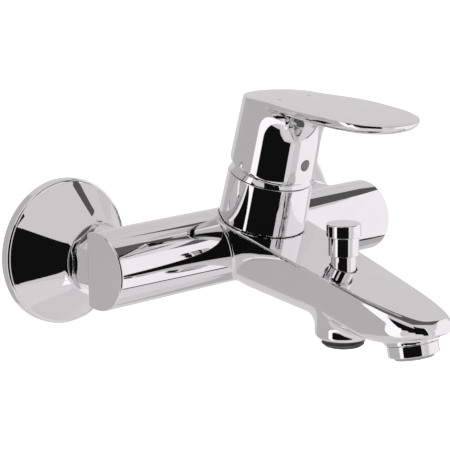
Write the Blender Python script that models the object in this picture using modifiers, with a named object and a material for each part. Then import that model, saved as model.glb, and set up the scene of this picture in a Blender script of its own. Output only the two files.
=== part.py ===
"""Wall mounted bath faucet: a single-lever mixer with a diverter and a shower outlet.

The wall is the plane Y = 0, the faucet stands out along -Y, and the two inlets lie on Z = 0,
one each side of the origin. Every piece is its own object; moving pieces hang on empties that
stand on their joints' axes.
"""
import math

import bmesh
import bpy
from mathutils import Matrix, Vector

MM = 0.001
SIDES = (("left", -1), ("right", 1))

# --- driving dimensions, in millimetres ---------------------------------------------------
INLET_SPACING = 150.0
TAIL_BORE_RADIUS = 10.65
CLEARANCE = 0.3

# barrel: a round bar along X with a flat back
BARREL_RADIUS = 18.8
BARREL_LENGTH = 185.0
BARREL_Y = -49.2
BARREL_BACK_Y = -42.7
BARREL_EDGE = 0.9

# spout: a flat top that falls towards the tip over a rounded keel
TILT = math.radians(15.0)
TOP_Y = -100.0
TOP_Z = 4.15
SPOUT_START_Y = -49.0
SPOUT_NOSE_Y = -145.0
SPOUT_TIP_Y = -181.8
SPOUT_HALF_WIDTH = 19.2
SPOUT_FLARE = 0.060
SPOUT_EDGE_BACK = 0.8
SPOUT_EDGE_TIP = 4.6
NOSE_POWER = 2.8
NOSE_RAKE = 0.85
KEEL_Z = -26.2
KEEL_SLOPE = 0.13

# tower: stands square to the spout's flat top; heights are measured from it
TOWER_Y = -65.4
STUB_RADIUS = 19.6
STUB_TOP = 22.0
CAVITY_RADIUS = 17.6
CAVITY_FLOOR = -15.0
PORTS = ((-8.0, 5.0, 3.1), (8.0, 5.0, 3.1), (0.0, -9.0, 3.6))
REST_SHIFT = 3.0
SLEEVE_FOOT_RADIUS = 21.9
SLEEVE_TOP_RADIUS = 21.1
SLEEVE_TOP = 24.3
PIVOT_HEIGHT = 13.0
DOME_RADIUS = 23.8

# lever: a hollow hub on the tower's axis with a broad paddle
HUB_FOOT_FRONT = 27.3
HUB_FOOT_REAR = 31.0
HUB_FOOT_RADIUS = 21.3
HUB_TOP_RADIUS = 20.1
HUB_WALL = 1.9
FILLET_START = 48.0
PADDLE_TIP_Y = -158.4
PADDLE_TIP_Z = 69.8
PADDLE_HALF_WIDTH = 25.0
PADDLE_THICKNESS = 4.0
HUB_CENTRE_Y = -82.3
STEM_SIDE = 7.6
PLUG_HEIGHT = 37.3
MARK_X = 10.0
MARK_Y = -88.0

# diverter and shower outlet: upright, under the spout's flat top
DIVERTER_Y = -120.3
KNOB_TOP_Z = 19.6
OUTLET_BOSS_RADIUS = 13.7
OUTLET_BOSS_END_Z = -35.7
OUTLET_THREAD_RADIUS = 10.45
OUTLET_END_Z = -39.6

# aerator: its axis leans so that the water leaves forwards
AERATOR_TILT = math.radians(12.0)
AERATOR_Y = -163.3
AERATOR_Z = -29.6
AERATOR_RADIUS = 12.0

# wall side: escutcheon, eccentric union, nut and tail; heights are measured from the wall
ESCUTCHEON_RADIUS = 36.2
ESCUTCHEON_FLARE = 1.15
ESCUTCHEON_RIM = 5.3
ESCUTCHEON_HEIGHT = 28.6
ESCUTCHEON_MOUTH = 18.0
ESCUTCHEON_WALL = 1.4
UNION_OFFSET = 12.0
WALL_THREAD_RADIUS = 10.45
UNION_THREAD_RADIUS = 13.2
NUT_ACROSS_FLATS = 30.0

# finish: colour, metallic, roughness
FINISHES = {
    "chrome": ((0.80, 0.79, 0.80), 1.0, 0.05),
    "brass": ((0.72, 0.55, 0.27), 1.0, 0.30),
    "steel": ((0.60, 0.60, 0.60), 1.0, 0.25),
    "rubber": ((0.02, 0.02, 0.02), 0.0, 0.60),
    "dark_plastic": ((0.06, 0.065, 0.065), 0.0, 0.45),
    "grey_plastic": ((0.32, 0.32, 0.33), 0.0, 0.40),
    "white_plastic": ((0.85, 0.85, 0.83), 0.0, 0.40),
    "ceramic": ((0.90, 0.89, 0.86), 0.0, 0.20),
    "red_enamel": ((0.45, 0.03, 0.03), 0.0, 0.30),
}


# --- scene helpers ------------------------------------------------------------------------
def clear_scene():
    for old in list(bpy.data.objects):
        bpy.data.objects.remove(old, do_unlink=True)


def make_collection(name):
    collection = bpy.data.collections.new(name)
    bpy.context.scene.collection.children.link(collection)
    return collection


def finish_material(obj, finish):
    """Give the object a Principled material of its own."""
    colour, metallic, roughness = FINISHES[finish]
    material = bpy.data.materials.new(obj.name + "_" + finish)
    material.use_nodes = True
    shader = material.node_tree.nodes["Principled BSDF"]
    shader.inputs["Base Color"].default_value = (*colour, 1.0)
    shader.inputs["Metallic"].default_value = metallic
    shader.inputs["Roughness"].default_value = roughness
    obj.data.materials.append(material)


def make_frame(name, y, z, turn=0.0, x=0.0, parent=None):
    """An empty whose local Z is an axis of the faucet, turned about X."""
    empty = bpy.data.objects.new(name, None)
    empty.empty_display_size = 10 * MM
    empty.location = (x * MM, y * MM, z * MM)
    empty.rotation_euler = (turn, 0.0, 0.0)
    PARTS.objects.link(empty)
    empty.parent = parent
    bpy.context.view_layer.update()
    return empty


def add_object(name, data, frame=None, finish=None):
    """Link a part, or a cutter where no finish is given."""
    obj = bpy.data.objects.new(name, data)
    obj.parent = frame
    if finish:
        PARTS.objects.link(obj)
        finish_material(obj, finish)
    else:
        CUTTERS.objects.link(obj)
        obj.hide_render = True
        obj.display_type = "WIRE"
    return obj


def turned(name, profile, frame=None, finish=None, steps=48, closed=True):
    """Turn a profile of (radius, height) about the frame's Z; it runs down its outer side."""
    mesh = bpy.data.meshes.new(name)
    points = [(radius * MM, 0.0, height * MM) for radius, height in profile]
    edges = [(i, i + 1) for i in range(len(points) - 1)]
    if closed:
        edges.append((len(points) - 1, 0))
    mesh.from_pydata(points, edges, [])
    obj = add_object(name, mesh, frame, finish)
    screw = obj.modifiers.new("Turn", "SCREW")
    screw.steps = steps
    screw.render_steps = steps
    screw.use_merge_vertices = True
    screw.merge_threshold = 0.00002
    screw.use_smooth_shade = True
    return obj


def solid_turned(name, profile, frame=None, finish=None, steps=36):
    """Turn a profile that starts and ends on the axis."""
    return turned(name, profile, frame, finish, steps, closed=False)


def ring(name, inner, outer, low, high, frame, finish, steps=28):
    profile = [(outer, high), (outer, low), (inner, low), (inner, high)]
    return turned(name, profile, frame, finish, steps)


def rod(name, radius, low, high, frame=None, finish=None, steps=22):
    profile = [(0.0, high), (radius, high), (radius, low), (0.0, low)]
    return solid_turned(name, profile, frame, finish, steps)


def box(name, low, high, frame=None, finish=None):
    """A block between two corners of the frame."""
    mesh = bpy.data.meshes.new(name)
    shape = bmesh.new()
    bmesh.ops.create_cube(shape, size=1.0)
    size = [(b - a) * MM for a, b in zip(low, high)]
    middle = [(a + b) / 2 * MM for a, b in zip(low, high)]
    bmesh.ops.transform(shape, matrix=Matrix.Diagonal((*size, 1.0)), verts=shape.verts)
    bmesh.ops.translate(shape, vec=Vector(middle), verts=shape.verts)
    shape.to_mesh(mesh)
    shape.free()
    return add_object(name, mesh, frame, finish)


def bar_between(name, start, end, radius, steps=20):
    """A round cutter between two points."""
    a, b = Vector(start), Vector(end)
    cutter = rod(name, radius, 0.0, (b - a).length, steps=steps)
    turn = (b - a).to_track_quat("Z", "Y").to_matrix().to_4x4()
    cutter.matrix_world = Matrix.Translation(a * MM) @ turn
    return cutter


def combine(target, other, operation, solver="EXACT"):
    step = target.modifiers.new(operation.title() + "_" + other.name, "BOOLEAN")
    step.operation = operation
    step.solver = solver
    step.object = other


def cut(target, *cutters, solver="EXACT"):
    for cutter in cutters:
        combine(target, cutter, "DIFFERENCE", solver)


def join(target, *others, solver="EXACT"):
    for other in others:
        combine(target, other, "UNION", solver)


def arc(centre, radius, start, end, count):
    """Points (radius, height) on an arc in a profile, angles in degrees from +radius."""
    points = []
    for i in range(count + 1):
        angle = math.radians(start + (end - start) * i / count)
        points.append((centre[0] + radius * math.cos(angle), centre[1] + radius * math.sin(angle)))
    return points


def loft(name, rings, frame=None, finish=None):
    """Skin closed rings of equally many points and cap both ends with a fan."""
    count = len(rings[0])
    points = [Vector(p) * MM for one in rings for p in one]
    faces = []
    for row in range(len(rings) - 1):
        for i in range(count):
            a, b = row * count + i, row * count + (i + 1) % count
            faces.append((a, b, b + count, a + count))
    for row, flip in ((0, True), (len(rings) - 1, False)):
        middle = len(points)
        points.append(sum((Vector(p) for p in rings[row]), Vector()) / count * MM)
        for i in range(count):
            a, b = row * count + i, row * count + (i + 1) % count
            faces.append((b, a, middle) if flip else (a, b, middle))
    mesh = bpy.data.meshes.new(name)
    mesh.from_pydata(points, [], faces)
    shape = bmesh.new()
    shape.from_mesh(mesh)
    bmesh.ops.recalc_face_normals(shape, faces=shape.faces)
    shape.to_mesh(mesh)
    shape.free()
    return add_object(name, mesh, frame, finish)


def coil(name, radius, wire, low, high, turns, frame, finish):
    """A compression spring of round wire."""
    count = int(turns * 8) + 1
    curve = bpy.data.curves.new(name, "CURVE")
    curve.dimensions = "3D"
    spline = curve.splines.new("POLY")
    spline.points.add(count - 1)
    for i, point in enumerate(spline.points):
        share = i / (count - 1)
        angle = share * turns * math.tau
        height = low + wire + (high - low - 2 * wire) * share
        point.co = (radius * math.cos(angle) * MM, radius * math.sin(angle) * MM, height * MM, 1.0)
    curve.bevel_depth = wire * MM
    curve.bevel_resolution = 1
    curve.use_fill_caps = True
    return add_object(name, curve, frame, finish)


# --- shared geometry ----------------------------------------------------------------------
def top_height(y):
    """Height of the spout's flat top."""
    return TOP_Z + math.tan(TILT) * (y - TOP_Y)


def seat_height(y):
    """Height of the plane in which the aerator's seat lies."""
    return AERATOR_Z - math.tan(AERATOR_TILT) * (y - AERATOR_Y)


def keel_height(y):
    """Lowest line of the spout."""
    line = KEEL_Z + KEEL_SLOPE * (y - TOP_Y)
    rise = 3.4 * max(0.0, (y + 67.0) / 18.0) ** 2
    return max(line + rise, seat_height(y))


def spout_half_width(y):
    """Half the spout's width: a straight flare, then a rounded nose."""
    if y > SPOUT_NOSE_Y:
        return SPOUT_HALF_WIDTH + SPOUT_FLARE * (y - SPOUT_NOSE_Y)
    share = min(1.0, (SPOUT_NOSE_Y - y) / (SPOUT_NOSE_Y - SPOUT_TIP_Y))
    return SPOUT_HALF_WIDTH * (1.0 - share ** NOSE_POWER) ** (1.0 / NOSE_POWER)


def spout_section(y):
    """Outline of the spout across Y: flat top, rounded edges and a keel."""
    half, low = spout_half_width(y), keel_height(y)
    forward = min(1.0, max(0.0, (-110.0 - y) / 55.0))
    edge = SPOUT_EDGE_BACK + (SPOUT_EDGE_TIP - SPOUT_EDGE_BACK) * forward
    over = max(0.0, SPOUT_EDGE_TIP - (y - SPOUT_TIP_Y))
    top = top_height(y) - SPOUT_EDGE_TIP + math.sqrt(SPOUT_EDGE_TIP ** 2 - over ** 2)
    edge = min(edge, 0.45 * half)
    power = 2.3 + 3.0 * forward
    side = [(0.5 * (half - edge), top), (half - edge, top)]
    for i in range(1, 3):
        angle = math.radians(45 * i)
        side.append((half - edge + edge * math.sin(angle), top - edge + edge * math.cos(angle)))
    depth = top - edge - low
    for i in range(1, 9):
        fall = math.sin(math.radians(10 * i))
        side.append((half * math.sqrt(1.0 - fall ** power), top - edge - depth * fall))
    nose = min(1.0, max(0.0, (SPOUT_NOSE_Y - y) / (SPOUT_NOSE_Y - SPOUT_TIP_Y)))
    outline = [(0.0, top)] + side + [(0.0, low)] + [(-x, z) for x, z in reversed(side)]
    return [(x, y + NOSE_RAKE * nose * nose * (top - z), z) for x, z in outline]


# --- body ---------------------------------------------------------------------------------
def make_barrel():
    half = BARREL_LENGTH / 2
    edge = arc((BARREL_RADIUS - BARREL_EDGE, half - BARREL_EDGE), BARREL_EDGE, 90, 0, 3)
    lower = [(radius, -height) for radius, height in reversed(edge)]
    profile = [(0.0, half)] + edge + lower + [(0.0, -half)]
    body = solid_turned("mixer_body", profile, None, "chrome", steps=36)
    body.location = (0.0, BARREL_Y * MM, 0.0)
    body.rotation_euler = (0.0, math.pi / 2, 0.0)
    back = box("back_cutter", (-100, BARREL_BACK_Y, -30), (100, BARREL_BACK_Y + 40, 30))
    cut(body, back, solver="MANIFOLD")
    return body


def make_spout():
    stations = [SPOUT_START_Y - 12.0 * i for i in range(8)]
    span = SPOUT_NOSE_Y - SPOUT_TIP_Y
    for i in range(8):
        share = math.sin(math.radians(84.0 * i / 7)) ** (2.0 / NOSE_POWER)
        stations.append(SPOUT_NOSE_Y - span * share)
    return loft("spout_shape", [spout_section(y) for y in stations])


def make_body(tower, diverter, aerator):
    body = make_barrel()
    wide = OUTLET_BOSS_RADIUS
    boss = [(0.0, -18.0), (wide + 2.4, -18.0), (wide + 2.2, -23.4), (wide + 0.7, -25.4), (wide, -28.6)]
    boss += arc((wide - 2.2, -33.4), 2.2, 0, -75, 3)
    boss += [(wide - 2.4, OUTLET_BOSS_END_Z), (0.0, OUTLET_BOSS_END_Z)]
    collar = [(0.0, 7.0), (11.6, 7.0), (12.9, 3.0), (12.9, 0.6), (12.5, 0.0), (0.0, 0.0)]
    join(body, make_spout(), solid_turned("boss_shape", boss, diverter, steps=28), solver="MANIFOLD")
    join(body, solid_turned("collar_shape", collar, aerator, steps=28), solver="MANIFOLD")
    seat = ring("seat_cutter", STUB_RADIUS - 4, SLEEVE_FOOT_RADIUS + 0.25, 0.0, 6.0, tower, None, 32)
    cut(body, seat, solver="MANIFOLD")
    join(body, rod("stub_shape", STUB_RADIUS, -8.0, STUB_TOP, tower, steps=32), solver="MANIFOLD")
    cut_tower_bores(body, tower)
    cut_inlets(body)
    cut_outlets(body, diverter, aerator)
    return body


def cut_tower_bores(body, tower):
    cavity = rod("cavity_cutter", CAVITY_RADIUS, CAVITY_FLOOR, STUB_TOP + 4, tower, steps=28)
    cut(body, cavity, solver="MANIFOLD")
    for number, (x, y, radius) in enumerate(PORTS):
        port = rod("port_cutter_%d" % number, radius, CAVITY_FLOOR - 9.5, CAVITY_FLOOR + 1, tower, steps=10)
        port.location = (x * MM, y * MM, 0.0)
        cut(body, port, solver="MANIFOLD")


def cut_inlets(body):
    for side, sign in SIDES:
        x = sign * INLET_SPACING / 2
        bore = bar_between(side + "_inlet_cutter", (x, -40.0, 0.0), (x, -52.0, 0.0), TAIL_BORE_RADIUS, 32)
        inner = (sign * 5.0, BARREL_Y, -8.0)
        channel = bar_between(side + "_channel_cutter", (x, BARREL_Y, -8.0), inner, 5.0, 16)
        cut(body, bore, channel, solver="MANIFOLD")


def cut_outlets(body, diverter, aerator):
    knob_hole = rod("knob_hole_cutter", 6.55, -8.0, 6.0, diverter, steps=22)
    bore = rod("diverter_bore_cutter", 8.6, OUTLET_BOSS_END_Z - 2, -8.0, diverter, steps=24)
    mixed = bar_between("mixed_channel_cutter", (0, -67.5, -11.0), (0, -114.0, -18.0), 4.5, 16)
    spout = bar_between("spout_channel_cutter", (0, -125.0, -18.5), (0, -161.4, -22.6), 5.4, 16)
    seat = rod("aerator_bore_cutter", 11.3, -3.0, 8.0, aerator, steps=28)
    cut(body, knob_hole, bore, mixed, spout, seat, solver="MANIFOLD")


# --- wall side ----------------------------------------------------------------------------
def escutcheon_radius(height):
    share = (ESCUTCHEON_HEIGHT - height) / (ESCUTCHEON_HEIGHT - ESCUTCHEON_RIM)
    return ESCUTCHEON_MOUTH + (ESCUTCHEON_RADIUS - 1.6 - ESCUTCHEON_MOUTH) * share ** ESCUTCHEON_FLARE


def make_escutcheon(side, frame):
    heights = [ESCUTCHEON_HEIGHT - (ESCUTCHEON_HEIGHT - ESCUTCHEON_RIM) * i / 5 for i in range(6)]
    face = [(escutcheon_radius(height), height) for height in heights]
    rim = arc((ESCUTCHEON_RADIUS - 1.4, ESCUTCHEON_RIM - 1.4), 1.4, 80, 0, 2)
    lining = [(radius - ESCUTCHEON_WALL, height - 0.8) for radius, height in reversed(face[:5:2])]
    lining.insert(0, (ESCUTCHEON_RADIUS - 3.0, ESCUTCHEON_RIM - 1.6))
    profile = [(UNION_THREAD_RADIUS + 0.8, ESCUTCHEON_HEIGHT)] + face + rim
    profile += [(ESCUTCHEON_RADIUS, 0.0), (ESCUTCHEON_RADIUS - 3.0, 0.0)] + lining
    profile.append((UNION_THREAD_RADIUS + 0.8, lining[-1][1]))
    return turned(side + "_escutcheon", profile, frame, "chrome", steps=32)


def make_wall_union(side, frame):
    """Eccentric union: wall thread, slanted waist and inlet thread."""
    union = rod(side + "_wall_union", UNION_THREAD_RADIUS, 12.0, 36.0, frame, "brass", steps=28)
    stub = rod(side + "_stub_shape", WALL_THREAD_RADIUS, -18.0, 1.0, frame, steps=24)
    stub.location = (0.0, UNION_OFFSET * MM, 0.0)
    waist = slanted(side + "_waist_shape", 12.7, -2.0, 13.5, frame)
    join(union, waist, stub, solver="MANIFOLD")
    bore_in = rod(side + "_stub_bore", 7.0, -19.0, 0.0, frame, steps=16)
    bore_in.location = (0.0, UNION_OFFSET * MM, 0.0)
    bore_waist = slanted(side + "_waist_bore", 7.0, -1.5, 13.0, frame)
    bore_out = rod(side + "_out_bore", 8.6, 12.0, 37.0, frame, steps=20)
    cut(union, bore_in, bore_waist, bore_out, solver="MANIFOLD")
    return union


def slanted(name, radius, low, high, frame):
    """A bar with level ends whose axis slants from the wall pipe's to the inlet's."""
    steps = 24
    rings = []
    for height, offset in ((low, UNION_OFFSET), (high, 0.0)):
        one = []
        for i in range(steps):
            angle = math.tau * i / steps
            one.append((radius * math.cos(angle), offset + radius * math.sin(angle), height))
        rings.append(one)
    return loft(name, rings, frame)


def make_union_nut(side, frame):
    """Hexagon with chamfered ends, bored for the union's thread and the tail."""
    name = side + "_union_nut"
    mesh = bpy.data.meshes.new(name)
    shape = bmesh.new()
    corner = NUT_ACROSS_FLATS / math.sqrt(3) * MM
    low, high = 28.9, -BARREL_BACK_Y - CLEARANCE
    bmesh.ops.create_cone(
        shape, cap_ends=True, segments=6, radius1=corner, radius2=corner, depth=(high - low) * MM)
    bmesh.ops.translate(shape, vec=(0, 0, (low + high) / 2 * MM), verts=shape.verts)
    shape.to_mesh(mesh)
    shape.free()
    nut = add_object(name, mesh, frame, "chrome")
    chamfer = [
        (0.0, high + 0.2), (15.0, high + 0.2), (17.6, high - 1.4),
        (17.6, low + 1.9), (14.6, low - 0.1), (0.0, low - 0.1)]
    combine(nut, solid_turned(side + "_nut_chamfer", chamfer, frame, steps=36), "INTERSECT")
    cut(nut, rod(side + "_nut_thread_bore", 13.5, low - 1, 40.7, frame, steps=24))
    cut(nut, rod(side + "_nut_neck_bore", TAIL_BORE_RADIUS, 38.0, high + 1, frame, steps=24))
    return nut


def make_wall_side():
    for side, sign in SIDES:
        frame = make_frame(side + "_inlet", 0.0, 0.0, math.pi / 2, sign * INLET_SPACING / 2)
        make_escutcheon(side, frame)
        make_wall_union(side, frame)
        make_union_nut(side, frame)
        ring(side + "_filter_washer", 8.7, 12.9, 36.3, 38.3, frame, "rubber", 24)
        tail = [(10.3, 51.5), (10.3, 40.4), (12.9, 40.4), (12.9, 38.6), (7.5, 38.6), (7.5, 51.5)]
        turned(side + "_inlet_tail", tail, frame, "brass", 24)


# --- cartridge ----------------------------------------------------------------------------
def drilled_disc(name, radius, low, high, frame, finish):
    disc = rod(name, radius, low, high, frame, finish, steps=24)
    for number, (x, y, hole) in enumerate(PORTS):
        cutter = rod("%s_port_%d" % (name, number), hole - 0.3, low - 1, high + 1, frame, steps=10)
        cutter.location = (x * MM, y * MM, 0.0)
        cut(disc, cutter)
    return disc


def make_cartridge(tower):
    """The fixed pieces in the tower, from the cavity's floor up."""
    floor = CAVITY_FLOOR
    drilled_disc("cartridge_seal", 16.8, floor + 0.3, floor + 1.4, tower, "rubber")
    drilled_disc("cartridge_base", 17.2, floor + 1.7, floor + 4.7, tower, "white_plastic")
    drilled_disc("fixed_ceramic_disc", 13.8, floor + 5.0, floor + 7.8, tower, "ceramic")
    housing = [
        (9.8, 19.0), (17.2, 19.0), (17.2, floor + 5.0),
        (14.6, floor + 5.0), (14.6, 17.0), (9.8, 17.0)]
    turned("cartridge_housing", housing, tower, "white_plastic", 30)
    ring("cartridge_nut", 12.5, 17.25, 19.3, 23.6, tower, "brass", 30)


def make_tower_covers(tower):
    sleeve = [
        (18.2, SLEEVE_TOP), (SLEEVE_TOP_RADIUS - 0.5, SLEEVE_TOP), (SLEEVE_TOP_RADIUS, SLEEVE_TOP - 0.5),
        (SLEEVE_FOOT_RADIUS, 0.8), (SLEEVE_FOOT_RADIUS - 0.3, CLEARANCE), (19.95, CLEARANCE),
        (19.95, STUB_TOP + 0.4), (18.2, STUB_TOP + 0.4)]
    turned("cartridge_sleeve", sleeve, tower, "chrome", 32)
    start = math.degrees(math.asin((SLEEVE_TOP + 0.4 - PIVOT_HEIGHT) / DOME_RADIUS))
    outside = list(reversed(arc((0.0, PIVOT_HEIGHT), DOME_RADIUS, start, 44.5, 3)))
    inside = arc((0.0, PIVOT_HEIGHT), DOME_RADIUS - 1.5, start + 1, 46.0, 2)
    turned("tower_dome", outside + inside, tower, "chrome", 32)


def make_stem_guide(tower):
    """Turns in the housing; the pivot pin crosses it."""
    profile = [(0.0, 23.4), (9.4, 23.4), (9.4, 16.6), (14.2, 16.6), (14.2, 0.2), (0.0, 0.2)]
    guide = solid_turned("stem_guide", profile, tower, "dark_plastic", 28)
    cut(guide, box("guide_slot_upper", (-3.5, -3.7, 9.0), (3.5, 7.9, 25.0), tower))
    cut(guide, box("guide_slot_lower", (-3.5, -9.0, -1.0), (3.5, 3.9, 16.0), tower))
    pin_frame = make_frame("pin_axis", 0.0, PIVOT_HEIGHT, 0.0, 0.0, tower)
    pin_frame.rotation_euler = (0.0, math.pi / 2, 0.0)
    cut(guide, rod("pin_bore_cutter", 1.85, -20, 20, pin_frame, steps=12))
    rod("pivot_pin", 1.5, -12.0, 12.0, pin_frame, "steel", 12)


def make_moving_discs(tower):
    """The disc and its carrier slide as the lever lifts; they rest towards the wall."""
    slide = make_frame("disc_slide", REST_SHIFT, 0.0, 0.0, 0.0, tower)
    floor = CAVITY_FLOOR
    disc = rod("moving_ceramic_disc", 11.0, floor + 8.1, floor + 10.7, slide, "ceramic", 28)
    cut(disc, box("mixing_pocket", (-6.0, -8.0, floor + 7.0), (6.0, 1.0, floor + 9.4), slide))
    carrier = rod("disc_carrier", 10.6, floor + 11.0, -0.5, slide, "dark_plastic", 28)
    low = -REST_SHIFT - 4.2
    cut(carrier, box("carrier_slot", (-2.9, low, -8.0), (2.9, low + 8.4, 2.0), slide))


def make_stem(lift):
    """A flat bar through the guide with a square head for the lever."""
    half = STEM_SIDE / 2
    head = box("cartridge_stem", (-half, -half, 18.0), (half, half, 35.5), lift, "brass")
    join(head, box("stem_bar_shape", (-3.0, -3.1, -12.0), (3.0, 3.1, 19.0), lift))
    join(head, box("stem_tongue_shape", (-2.4, -2.4, -16.6), (2.4, 2.4, -11.0), lift))
    bore = rod("stem_bore_cutter", 1.85, -10, 10, lift, steps=12)
    bore.rotation_euler = (0.0, math.pi / 2, 0.0)
    cut(head, bore)
    return head


# --- lever --------------------------------------------------------------------------------
def tower_point(height, angle, radius):
    """World point at a height on the tower, an angle from the front and a radius."""
    forward, across = radius * math.cos(angle), radius * math.sin(angle)
    base = Vector((0.0, TOWER_Y, top_height(TOWER_Y)))
    axis = Vector((0.0, -math.sin(TILT), math.cos(TILT)))
    ahead = Vector((0.0, -math.cos(TILT), -math.sin(TILT)))
    return base + axis * height + ahead * forward + Vector((across, 0.0, 0.0))


def lever_top(y):
    """Height of the lever's top, which is slightly crowned along its length."""
    back = y - PADDLE_TIP_Y
    return PADDLE_TIP_Z + 0.133 * back - 0.00057 * back * back


def hub_radius(height):
    share = (height - HUB_FOOT_FRONT) / (66.0 - HUB_FOOT_FRONT)
    return HUB_FOOT_RADIUS + (HUB_TOP_RADIUS - HUB_FOOT_RADIUS) * share


def hub_side(height, angle):
    """Point on the outer wall of the hub."""
    return tower_point(height, angle, hub_radius(height))


def hub_top(angle):
    """Height on the tower at which the hub's wall meets the lever's top."""
    height = 64.0
    for _ in range(8):
        point = hub_side(height, angle)
        height += lever_top(point.y) - point.z
    return height


def paddle_half_width(y):
    """Half the paddle's width: hub, flare, slight taper and a rounded tip."""
    if y < PADDLE_TIP_Y:
        return 0.0
    flare = min(1.0, max(0.0, (HUB_CENTRE_Y - y) / 32.0))
    flare = flare * flare * (3 - 2 * flare)
    half = HUB_TOP_RADIUS + (PADDLE_HALF_WIDTH - HUB_TOP_RADIUS) * flare
    half -= 2.6 * min(1.0, max(0.0, (-114.0 - y) / 30.0)) ** 2
    nose = min(1.0, max(0.0, (-136.0 - y) / (-136.0 - PADDLE_TIP_Y)))
    return half * (1.0 - nose ** 2.3) ** (1 / 2.1)


def paddle_edge(angle):
    """Edge of the lever's top, seen from above, at an angle about the hub's top centre."""
    hub = hub_side(hub_top(angle), angle)
    straight, across = math.cos(angle), math.sin(angle)
    if straight <= 0.0:
        return hub.x, hub.y
    low, high = 0.0, 90.0
    for _ in range(30):
        reach = (low + high) / 2
        x, y = reach * across, HUB_CENTRE_Y - reach * straight
        inside = abs(x) < paddle_half_width(y)
        low, high = (reach, high) if inside else (low, reach)
    return low * across, HUB_CENTRE_Y - low * straight


def overhang(angle):
    """How far the paddle's edge reaches past the hub's wall."""
    hub = hub_side(hub_top(angle), angle)
    x, y = paddle_edge(angle)
    return math.hypot(x - hub.x, y - hub.y)


def rim_point(angle, inset, drop):
    """Point of the lever's rim; it follows the hub's slanted wall where nothing overhangs."""
    x, y = paddle_edge(angle)
    top = hub_top(angle)
    slant = hub_side(top - drop / math.cos(TILT), angle) - hub_side(top, angle)
    share = max(0.0, 1.0 - overhang(angle) / 6.0)
    middle = HUB_CENTRE_Y if y > -110.0 else max(-140.0, HUB_CENTRE_Y - 1.6 * (-110.0 - y))
    inward = Vector((-x, middle - y, 0.0))
    inward.normalize()
    point = Vector((x + slant.x * share, y + slant.y * share, 0.0)) + inward * inset
    point.z = lever_top(point.y) - drop
    return point


def fillet_point(angle, step):
    """Point on the hollow curve from the hub's wall to the paddle's underside, step 1 to 8."""
    reach = overhang(angle)
    drop = PADDLE_THICKNESS - 0.2
    rim = rim_point(angle, 1.3 * reach / (reach + 6.0), drop)
    rim_height = hub_top(angle) - drop / math.cos(TILT)
    bend_height = rim_height - 1.6 - 0.02 * reach
    bend = 9.0 / (reach + 9.0)
    if step <= 5:
        turn = math.radians(90.0 * step / 5)
        height = FILLET_START + (bend_height - FILLET_START) * math.sin(turn)
        out = bend * (1.0 - math.cos(turn))
    else:
        share = (step - 5) / 3
        height = bend_height + (rim_height - bend_height) * share
        out = bend + (1.0 - bend) * share
    return hub_side(height, angle) + (rim - hub_side(rim_height, angle)) * out


def lever_rings(count=40):
    """Rings of points from the hub's foot, out under the paddle, round its rim and over."""
    angles = [math.tau * i / count for i in range(count)]
    rings = []
    for height, inset in ((0.0, 1.0), (0.35, 0.4), (1.2, 0.0), (8.0, 0.0)):
        one = []
        for angle in angles:
            foot = HUB_FOOT_FRONT + (HUB_FOOT_REAR - HUB_FOOT_FRONT) * (1 - math.cos(angle)) / 2
            one.append(tower_point(foot + height, angle, hub_radius(foot + height) - inset))
        rings.append(one)
    for step in range(1, 9):
        rings.append([fillet_point(angle, step) for angle in angles])
    for inset, drop in ((0.0, PADDLE_THICKNESS - 1.6), (0.0, 0.7), (0.25, 0.2), (0.8, 0.0), (8.0, 0.0)):
        rings.append([rim_point(angle, inset, drop) for angle in angles])
    return rings


def make_lever(lift):
    lever = loft("lever_handle", lever_rings(), None, "chrome")
    lever.parent = lift
    lever.matrix_parent_inverse = lift.matrix_world.inverted()
    inner = HUB_FOOT_RADIUS - HUB_WALL
    mouth = HUB_FOOT_FRONT - PIVOT_HEIGHT - 1.5
    cavity = [
        (0.0, 43.0), (inner - 2.2, 43.0), (inner - 1.0, 20.0),
        (19.85, mouth), (19.85, 5.0), (0.0, 5.0)]
    hollow = solid_turned("hub_cavity", cavity, lift, steps=28)
    cut(hollow, rod("socket_boss", 8.2, 21.3, 50.0, lift, steps=24))
    half = STEM_SIDE / 2 + CLEARANCE
    cut(lever, hollow, box("stem_socket", (-half, -half, 18.0), (half, half, 36.0), lift))
    screw_axis = make_frame("screw_axis", 0.0, PLUG_HEIGHT - PIVOT_HEIGHT, math.pi / 2, 0.0, lift)
    cut(lever, rod("screw_bore", 2.85, 2.0, 30.0, screw_axis, steps=16))
    rod("set_screw", 2.5, 4.2, 9.2, screw_axis, "steel", 12)
    plug = [(0.0, 21.35), (2.2, 21.2), (2.5, 20.9), (2.5, 17.6), (0.0, 17.6)]
    solid_turned("index_plug", plug, screw_axis, "grey_plastic", 16)
    make_marks(lever, lift)


def make_marks(lever, lift):
    """Two small inlays on the lever's top, hot to the left and cold to the right."""
    for name, x in (("hot_mark", -MARK_X), ("cold_mark", MARK_X)):
        top = lever_top(MARK_Y)
        pocket = rod(name + "_pocket", 1.3, top - 1.5, top + 2.0, steps=12)
        pocket.location = (x * MM, MARK_Y * MM, 0.0)
        cut(lever, pocket)
        mark = rod(name, 1.0, top - 1.2, top + 0.05, None, "grey_plastic", 12)
        mark.location = (x * MM, MARK_Y * MM, 0.0)
        mark.parent = lift
        mark.matrix_parent_inverse = lift.matrix_world.inverted()


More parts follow.
